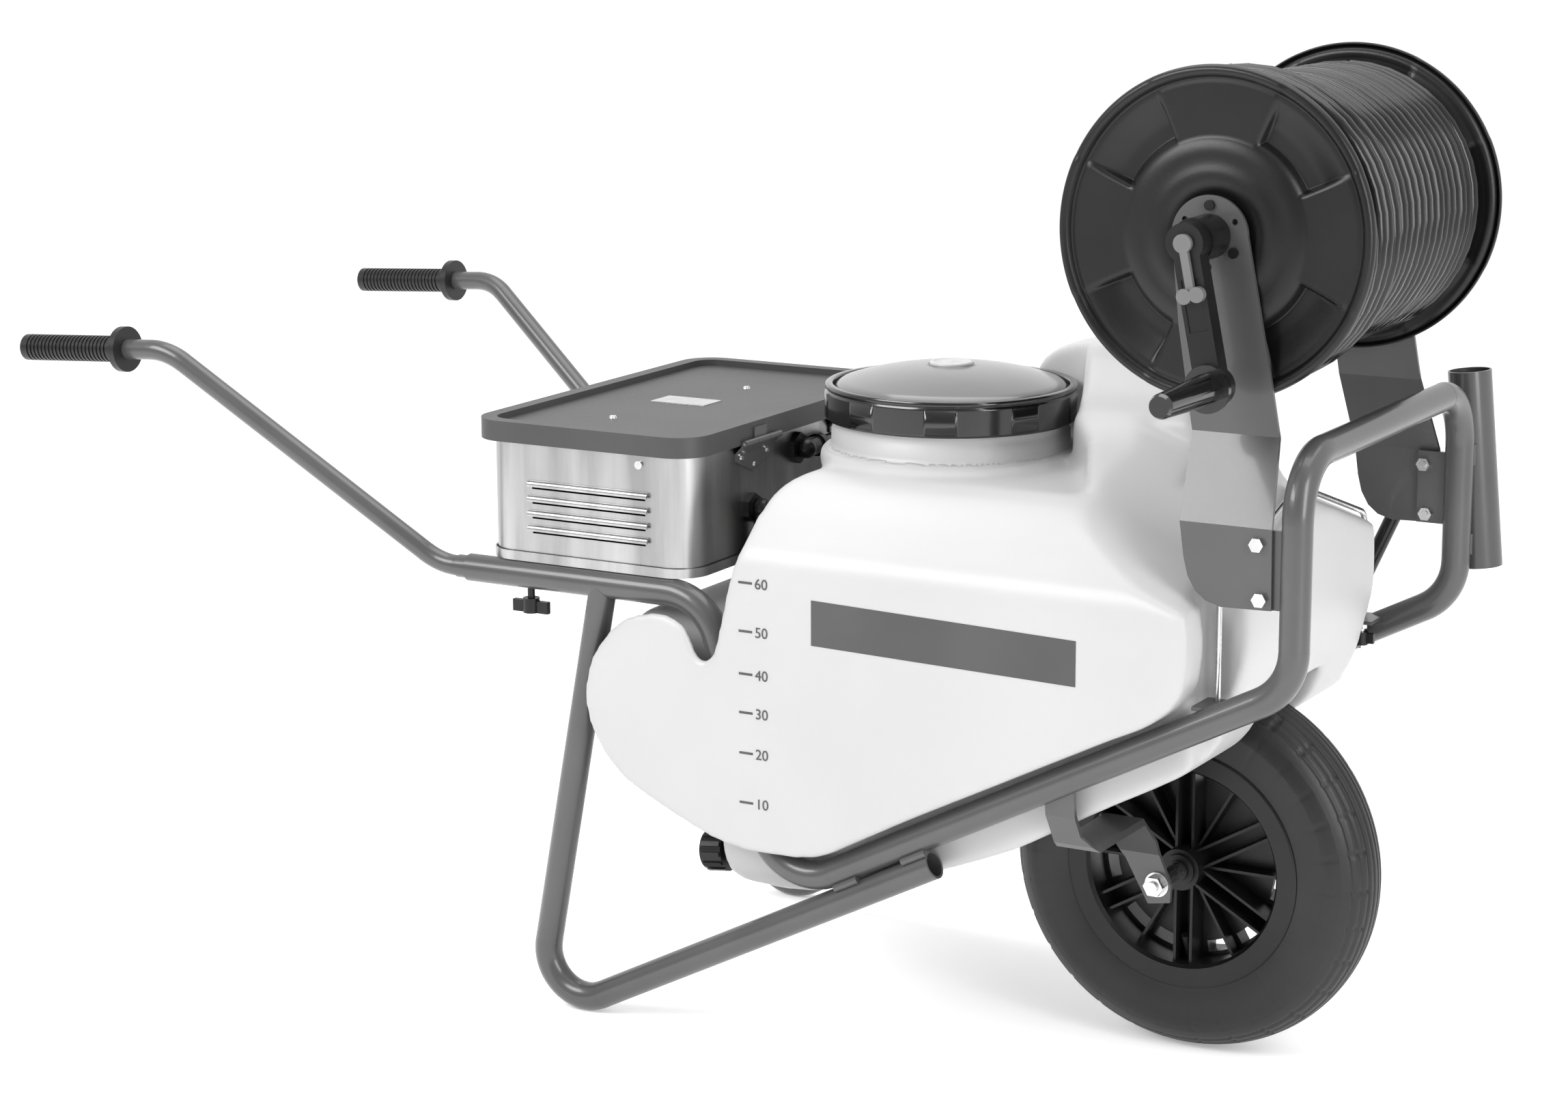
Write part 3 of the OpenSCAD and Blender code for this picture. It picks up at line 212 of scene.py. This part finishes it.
def lathe(name, profile, centre, axis, material, steps=128, shape=None):
    """Turns (radius, along) points in millimetres about an axis through centre.
    shape, if given, takes a point's index, angle, radius and along, and returns
    its new radius and along."""
    verts, faces = [], []
    side = UP if abs(axis.z) < 0.9 else Vector((1, 0, 0))
    u = axis.cross(side).normalized()
    v = axis.cross(u).normalized()
    n = len(profile)
    for i in range(steps):
        a = 2 * math.pi * i / steps
        out = u * math.cos(a) + v * math.sin(a)
        for k, (r, h) in enumerate(profile):
            if shape:
                r, h = shape(k, a, r, h)
            verts.append(centre + out * r * MM + axis * h * MM)
    for i in range(steps):
        j = (i + 1) % steps
        for k in range(n - 1):
            faces.append((i * n + k, j * n + k, j * n + k + 1, i * n + k + 1))
    return add_mesh(name, verts, faces, material)


# ---------- tank ----------
DRAIN = at(-457, -180, 190)
DRAIN_TURN = math.radians(-97)
DRAIN_AXIS = Vector((math.sin(DRAIN_TURN), 0, math.cos(DRAIN_TURN)))
DRAIN_R = 0.0125
DRAIN_REACH = 0.05
PORT = at(-461, -107, 455)
PORT_R = 0.0098
PORT_REACH = 0.09
NECK_FOOT = 0.55
MOUTH_FLOOR = 0.60
VOXEL = 0.0042
SKIN = 0.0035
NECK_BEADS = (662, 653)


def islands(bm):
    """Each connected set of faces."""
    left = set(bm.faces)
    while left:
        stack = [left.pop()]
        found = set(stack)
        while stack:
            for e in stack.pop().edges:
                for f in e.link_faces:
                    if f in left:
                        left.remove(f)
                        found.add(f)
                        stack.append(f)
        yield found


def from_neck(place):
    return math.hypot(place.x - NECK.x, place.y - NECK.y)


def outer_skin(bm):
    """Keeps only the outer skin of the CAD tank and closes its three mouths."""
    bmesh.ops.remove_doubles(bm, verts=bm.verts, dist=1e-5)
    mouths = []
    for f in bm.faces:
        c = f.calc_center_median()
        in_neck = from_neck(c) < NECK_BORE_R + 0.0008 and c.z > NECK_FOOT
        off = (c - DRAIN) - DRAIN_AXIS * (c - DRAIN).dot(DRAIN_AXIS)
        in_drain = off.length < DRAIN_R and (c - DRAIN).length < DRAIN_REACH
        in_port = math.hypot(c.y - PORT.y, c.z - PORT.z) < PORT_R and c.x < PORT.x + PORT_REACH
        if in_neck or in_drain or in_port:
            mouths.append(f)
    bmesh.ops.delete(bm, geom=mouths, context="FACES")
    parts = sorted(islands(bm), key=lambda fs: sum(f.calc_area() for f in fs))
    keep = max(parts, key=lambda fs: max(v.co.y for f in fs for v in f.verts))
    bmesh.ops.delete(bm, geom=[f for f in bm.faces if f not in keep], context="FACES")
    rim = [e for e in bm.edges if e.is_boundary]
    bmesh.ops.holes_fill(bm, edges=rim)


def make_tank():
    """The moulded shell: the CAD's outer skin, softened, opened at the neck and given a wall."""
    bm = bmesh.new()
    bm.from_mesh(NODES["tank"].data)
    outer_skin(bm)
    mesh = bpy.data.meshes.new("tank_shell")
    bm.to_mesh(mesh)
    bm.free()
    tank = add_object("tank_shell", mesh)
    remesh = tank.modifiers.new("blank", "REMESH")
    remesh.mode = "VOXEL"
    remesh.voxel_size = VOXEL
    soften = tank.modifiers.new("soften", "SMOOTH")
    soften.factor = 0.5
    soften.iterations = 18
    apply_modifiers(tank)
    bm = bmesh.new()
    bm.from_mesh(tank.data)
    centres = [(f, f.calc_center_median()) for f in bm.faces]
    mouth = [f for f, c in centres if from_neck(c) < NECK_R + 0.0035 and c.z > MOUTH_FLOOR]
    bmesh.ops.delete(bm, geom=mouth, context="FACES")
    bm.to_mesh(tank.data)
    bm.free()
    wall = tank.modifiers.new("wall", "SOLIDIFY")
    wall.thickness = SKIN
    wall.offset = -1.0
    apply_modifiers(tank)
    smooth_shade(tank)
    paint(tank, MATS["tank_plastic"])
    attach(tank, "chassis")
    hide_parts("tank")


def make_neck():
    """The filling neck with two thread beads, on a collar that flares into the shell."""
    r, bore, top, foot = NECK_R / MM, NECK_BORE_R / MM, NECK_TOP / MM, COLLAR_TOP / MM
    profile = [(bore, foot - 18), (bore, top - 0.6), (bore + 0.6, top), (r - 0.6, top),
               (r, top - 0.6)]
    for z in NECK_BEADS:
        profile += [(r, z + 2), (r + 2.2, z + 0.6), (r + 2.2, z - 2.2), (r, z - 3.6)]
    profile += [(r, foot + 21), (r + 1.6, foot + 19), (r + 1.8, foot + 7), (r + 3.2, foot + 3),
                (r + 6.5, foot + 0.6), (r + 9, foot - 0.6), (r + 9, foot - 6)]
    neck = lathe("tank_neck", profile, NECK, UP, "tank_plastic", 160)
    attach(neck, "chassis")
    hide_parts("tank")


# ---------- cap ----------
CAP_RIM = (CAP_HI.x - CAP_LO.x) / 2 / MM
VENT_SEAT_R = 24.4
DOME_STEPS = 24
LUG_PITCH = 40
LUG_FIRST = 2.1
LUG_HALF = 7
LUG_RISE = 1.0


def make_lid():
    """The domed lid: its upper side out to in, the vent's seat, and back along the lower side."""
    rim = CAP_RIM
    top = (CAP_HI.z - CAP_LO.z) / MM
    edge = rim - 5.8
    dome = [(edge - 3.2, 0.1), (rim - 0.1, 0.1), (rim - 0.1, 2.1), (edge + 0.6, 2.1), (edge, 2.8),
            (edge - 0.5, 4.2), (edge - 1.6, 6.4)]
    outer = []
    for k in range(1, DOME_STEPS + 1):
        r = (edge - 2.2) * (1 - k / DOME_STEPS) + VENT_SEAT_R * k / DOME_STEPS
        t = r / (edge + 2)
        outer.append((r, 6.8 + (top - 7.4) * (1 - t ** 2.3)))
    dome += outer + [(VENT_SEAT_R, top - 0.4), (23.2, top - 2.4), (0.01, top - 2.4),
                     (0.01, top - 5.2), (24.2, top - 5.2)]
    dome += [(r, h - 2.8) for r, h in reversed(outer)] + [(edge - 4.4, 2.6), (edge - 3.2, 0.1)]
    base = Vector((NECK.x, NECK.y, CAP_LO.z))
    lid = lathe("lid_dome", dome, base, UP, "grey_plastic", 192)
    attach(lid, "cap")
    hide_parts("cap_lid")


def make_vent():
    low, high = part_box("cap_vent")
    tall = (high.z - low.z) / MM
    disc = [(0.01, 0.1), (22.6, 0.1), (23.2, 1.0), (22.6, tall - 1.2), (21.6, tall - 0.2),
            (19.5, tall), (18.6, tall - 1.0), (4.4, tall - 1.0), (3.6, tall - 0.3),
            (0.01, tall - 0.3)]
    vent = lathe("vent_disc", disc, Vector((NECK.x, NECK.y, low.z)), UP, "tank_plastic", 96)
    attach(vent, "cap")
    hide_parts("cap_vent")


def make_ring():
    """The screw ring: a skirt with gripping lugs, a groove and a lip over the lid's rim."""
    rim = CAP_RIM
    tall = (RING_HI.z - RING_LO.z) / MM
    skirt = RING_R / MM
    lip = tall - 6.6
    section = [(rim + 0.7, 0.4), (skirt - 2.2, 0.0), (skirt - 1.0, 0.9), (skirt - 0.6, 2.6),
               (skirt - 0.6, 2.7), (skirt - 0.5, lip - 3.0), (skirt - 0.5, lip - 2.9),
               (skirt - 0.6, lip - 0.9), (skirt - 1.6, lip), (skirt - 1.6, lip + 0.7),
               (skirt - 0.5, lip + 1.6), (skirt - 0.2, lip + 2.4), (skirt - 0.4, tall - 1.2),
               (skirt - 1.6, tall - 0.1), (rim - 2.0, tall), (rim - 3.0, tall - 0.6),
               (rim - 3.2, lip + 1.4), (rim + 0.6, lip + 0.7), (rim + 0.6, 0.5), (rim + 0.7, 0.4)]

    def shape(k, a, r, h):
        turn = (math.degrees(a) - LUG_FIRST) % LUG_PITCH
        if k in (4, 5) and min(turn, LUG_PITCH - turn) < LUG_HALF:
            r += LUG_RISE
        return r, h
    base = Vector((NECK.x, NECK.y, RING_LO.z))
    ring = lathe("screw_ring_body", section, base, UP, "gloss_black", 720, shape)
    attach(ring, "screw_ring")
    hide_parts("cap_ring")


# ---------- level marks ----------
LEVELS = {60: 504, 50: 453, 40: 408, 30: 367, 20: 324, 10: 271}
DIGIT_SIZE = 0.0155


def make_scale_numbers():
    """Generic level numbers beside the CAD's tick marks."""
    lo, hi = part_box("tank_scale")
    for level, z in LEVELS.items():
        curve = bpy.data.curves.new("level_number", "FONT")
        curve.body = str(level)
        curve.size = DIGIT_SIZE
        curve.extrude = 0.00015
        text = add_object("level_number_%d" % level, curve)
        text.rotation_euler = (math.pi / 2, 0, 0)
        text.location = (hi.x + 0.003, lo.y, z * MM - 0.0052)
        bpy.context.view_layer.update()
        flat = bpy.data.meshes.new_from_object(
            text.evaluated_get(bpy.context.evaluated_depsgraph_get()))
        flat.transform(text.matrix_world)
        bpy.data.objects.remove(text)
        number = add_object("level_mark_%d" % level, flat)
        paint(number, MATS["print_grey"])
        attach(number, "chassis")


# ---------- hose reel ----------
POCKET_DEPTH = 11
FLANGE_SHEET = 0.0024


def soft_step(x, a, b):
    """0 below a, 1 above b, smooth between."""
    t = min(1.0, max(0.0, (x - a) / (b - a)))
    return t * t * (3 - 2 * t)


def pocket(a, r):
    """How deep a flange's moulded pocket is at this angle and radius, 0 to 1."""
    near = abs((math.degrees(a) - 45) % 90)
    near = min(near, 90 - near)
    across = 1 - soft_step(near * r / 57.3, r * 0.36 - 4, r * 0.36 + 1)
    along = soft_step(r, 93, 100) * (1 - soft_step(r, 112, 150) * 0.9)
    return across * along


FLANGE = [(12.6, 186), (30, 186), (43, 186), (45.5, 188.6), (54, 189), (62, 189), (65, 187.6),
          (76, 187.3), (86, 187), (90, 184.6), (93, 183.4)]
FLANGE += [(r, 183.2) for r in range(96, 146, 2)]
FLANGE += [(147, 182.4), (149.5, 182.6), (151.5, 185), (153, 188.4), (155.2, 189.9), (157.4, 189.3),
           (158.6, 187.2), (158.7, 184.5), (158.2, 182.4)]


def make_flange(name, node, sign):
    """A dished flange with four moulded pockets. sign is 1 for the left one, -1 for the right."""
    def shape(k, a, r, h):
        return r, h - POCKET_DEPTH * pocket(a, r)
    disc = lathe(name, FLANGE, REEL, Vector((0, sign, 0)), "black_plastic", 360, shape)
    wall = disc.modifiers.new("wall", "SOLIDIFY")
    wall.thickness = FLANGE_SHEET
    wall.offset = 1.0 if sign > 0 else -1.0
    apply_modifiers(disc)
    smooth_shade(disc)
    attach(disc, "reel")
    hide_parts(node)


HOSE_R = 8.4
TURNS = 20
TURN_PITCH = 17.4
TURN_R = 134
TOP_TURNS = 4
TOP_LIFT = 14.2
LIFT_TURN = 0.35
TURN_STEPS = 40
UNDER_OUT, UNDER_IN, UNDER_END = 126, 92, 167


def make_winding():
    """The wound hose as one helix, with a short second layer beside the near flange."""
    curve = bpy.data.curves.new("wound_hose", "CURVE")
    curve.dimensions = "3D"
    curve.bevel_depth = HOSE_R * MM
    curve.bevel_resolution = 4
    curve.use_fill_caps = True
    points = []
    first = (TURNS - 1) / 2 * TURN_PITCH
    for i in range((TURNS - 1) * TURN_STEPS + 1):
        t = i / TURN_STEPS
        wobble = 1.2 * noise.noise(Vector((t * 0.9, 0.3, 0)))
        points.append((2 * math.pi * t, TURN_R + wobble, first - t * TURN_PITCH))
    for i in range(1, TOP_TURNS * TURN_STEPS):
        t = i / TURN_STEPS
        rise = soft_step(t, 0, LIFT_TURN)
        wobble = 0.8 * noise.noise(Vector((t * 1.3, 4.3, 0)))
        along = -first + TURN_PITCH * 0.5 * rise + max(0, t - LIFT_TURN) * TURN_PITCH
        points.append((2 * math.pi * t, TURN_R + TOP_LIFT * rise + wobble, along))
    spline = curve.splines.new("POLY")
    spline.points.add(len(points) - 1)
    for p, (a, r, y) in zip(spline.points, points):
        p.co = (REEL.x + math.sin(a) * r * MM, REEL.y + y * MM, REEL.z + math.cos(a) * r * MM, 1)
    hose = add_object("wound_hose", curve)
    paint(hose, MATS["hose_rubber"])
    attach(hose, "reel")
    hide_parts("hose_winding")
    half = [(UNDER_IN, UNDER_END), (UNDER_OUT - 2, UNDER_END), (UNDER_OUT, UNDER_END - 2)]
    both = half + [(r, -h) for r, h in reversed(half)]
    under = lathe("lower_layers", both, REEL, LEFT, "hose_rubber", 96)
    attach(under, "reel")
    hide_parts("hose_winding")


# ---------- tyre ----------
BEAD = [(112.5, 37), (118, 38.8), (127, 42.3), (130, 43.6)]
CROWN_R, CROWN_HALF, BELLY = 47.6, 49.8, 152
GROOVE_PITCH = 8.5
GROOVE_HALF = 1.7
GROOVE_DEPTH = 2.4
GROOVED_TO = 52
SIDE_RINGS = (60, 70)
SIDE_RING_RISE = 0.28
SIPE_PITCH = 12


def tyre_profile():
    """The tyre's section from the right bead round to the left one, in millimetres."""
    pts = [(r, -y) for r, y in BEAD]
    for d in range(-80, 81, 2):
        a = math.radians(d)
        r = BELLY + CROWN_R * math.cos(a)
        y = CROWN_HALF * math.sin(a)
        if abs(d) <= GROOVED_TO:
            nearest = max(-4, min(4, round(y / GROOVE_PITCH))) * GROOVE_PITCH
            r -= GROOVE_DEPTH * max(0, 1 - abs(y - nearest) / GROOVE_HALF)
        elif abs(d) in SIDE_RINGS:
            r += SIDE_RING_RISE
        pts.append((r, y))
    return pts + BEAD[::-1]


def make_tyre():
    """The tyre, with a short cross sipe and a sidewall nick at each step round."""
    def shape(k, a, r, h):
        turn = math.degrees(a) % SIPE_PITCH
        near = min(turn, SIPE_PITCH - turn)
        if r > 184 and 20 < abs(h) < 40 and near < 0.5:
            r -= 1.6
        if 150 < r < 176 and near < 0.5 and abs(h) > 40:
            h -= math.copysign(0.5, h)
        return r, h
    tyre = lathe("tyre_body", tyre_profile(), AXLE, LEFT, "tyre_rubber", 360, shape)
    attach(tyre, "wheel")
    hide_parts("tyre")


make_tank()
make_neck()
make_lid()
make_vent()
make_ring()
make_scale_numbers()
make_flange("flange_right", "reel_flange_right", -1)
make_flange("flange_left", "reel_flange_left", 1)
make_winding()
make_tyre()


# ---------- stage ----------
FLOOR_HALF = 40
LENS = 80.4
VIEW_YAW, VIEW_PITCH, VIEW_ROLL = math.radians(29.68), math.radians(-12.143), math.radians(-0.228)
EYE = at(1365, -3264, 1291)
MIDDLE = at(-300, 0, 450)
LIGHTS = (("key", at(-1700, -2600, 2500), (2.2, 1.4), 95),
          ("front", at(2300, -1300, 1500), (0.9, 2.2), 50),
          ("top", at(-300, 300, 3000), (3.0, 2.0), 50))


def make_floor():
    mesh = bpy.data.meshes.new("studio_floor")
    corners = [(x * FLOOR_HALF, y * FLOOR_HALF, 0) for x, y in ((-1, -1), (1, -1), (1, 1), (-1, 1))]
    mesh.from_pydata(corners, [], [(0, 1, 2, 3)])
    floor = add_object("studio_floor", mesh)
    mat, tree, shader = new_material("studio_floor")
    tex = noise_node(tree, 0.6)
    colour = ramp_between(tree, tex, (0.88, 0.88, 0.88), (0.90, 0.90, 0.90))
    tree.links.new(colour.outputs["Color"], shader.inputs["Base Color"])
    shader.inputs["Emission Color"].default_value = (1, 1, 1, 1)
    shader.inputs["Emission Strength"].default_value = 0.30
    shader.inputs["Roughness"].default_value = 0.9
    mesh.materials.append(mat)


def add_light(name, location, size, power):
    data = bpy.data.lights.new(name, "AREA")
    data.shape = "RECTANGLE"
    data.size, data.size_y = size
    data.energy = power
    light = add_object(name, data)
    light.location = location
    light.rotation_mode = "QUATERNION"
    light.rotation_quaternion = (MIDDLE - location).to_track_quat("-Z", "Y")


def make_camera():
    """The viewpoint of the picture: right side, ahead of the wheel, a little above the reel."""
    data = bpy.data.cameras.new("camera")
    data.sensor_width = 36
    data.lens = LENS
    camera = add_object("camera", data)
    level = math.cos(VIEW_PITCH)
    look = Vector((-math.sin(VIEW_YAW) * level, math.cos(VIEW_YAW) * level, math.sin(VIEW_PITCH)))
    camera.location = EYE
    camera.rotation_mode = "QUATERNION"
    turn = look.to_track_quat("-Z", "Y").to_matrix() @ Matrix.Rotation(VIEW_ROLL, 3, "Z")
    camera.rotation_quaternion = turn.to_quaternion()
    bpy.context.scene.camera = camera


def make_studio():
    """A white room that is darker behind the camera, so metal and gloss have something to show."""
    world = bpy.data.worlds.new("studio")
    world.use_nodes = True
    tree = world.node_tree
    back = tree.nodes["Background"]
    coord = tree.nodes.new("ShaderNodeTexCoord")
    split = tree.nodes.new("ShaderNodeSeparateXYZ")
    room = tree.nodes.new("ShaderNodeMapRange")
    tree.links.new(coord.outputs["Generated"], split.inputs["Vector"])
    tree.links.new(split.outputs["Y"], room.inputs["Value"])
    room.inputs["From Min"].default_value = -0.7
    room.inputs["From Max"].default_value = 0.25
    room.inputs["To Min"].default_value = 0.42
    room.inputs["To Max"].default_value = 1.06
    tree.links.new(room.outputs["Result"], back.inputs["Strength"])
    back.inputs["Color"].default_value = (1, 1, 1, 1)
    bpy.context.scene.world = world
    bpy.context.scene.view_settings.view_transform = "Standard"
    for name, location, size, power in LIGHTS:
        add_light(name, location, size, power)


make_floor()
make_camera()
make_studio()
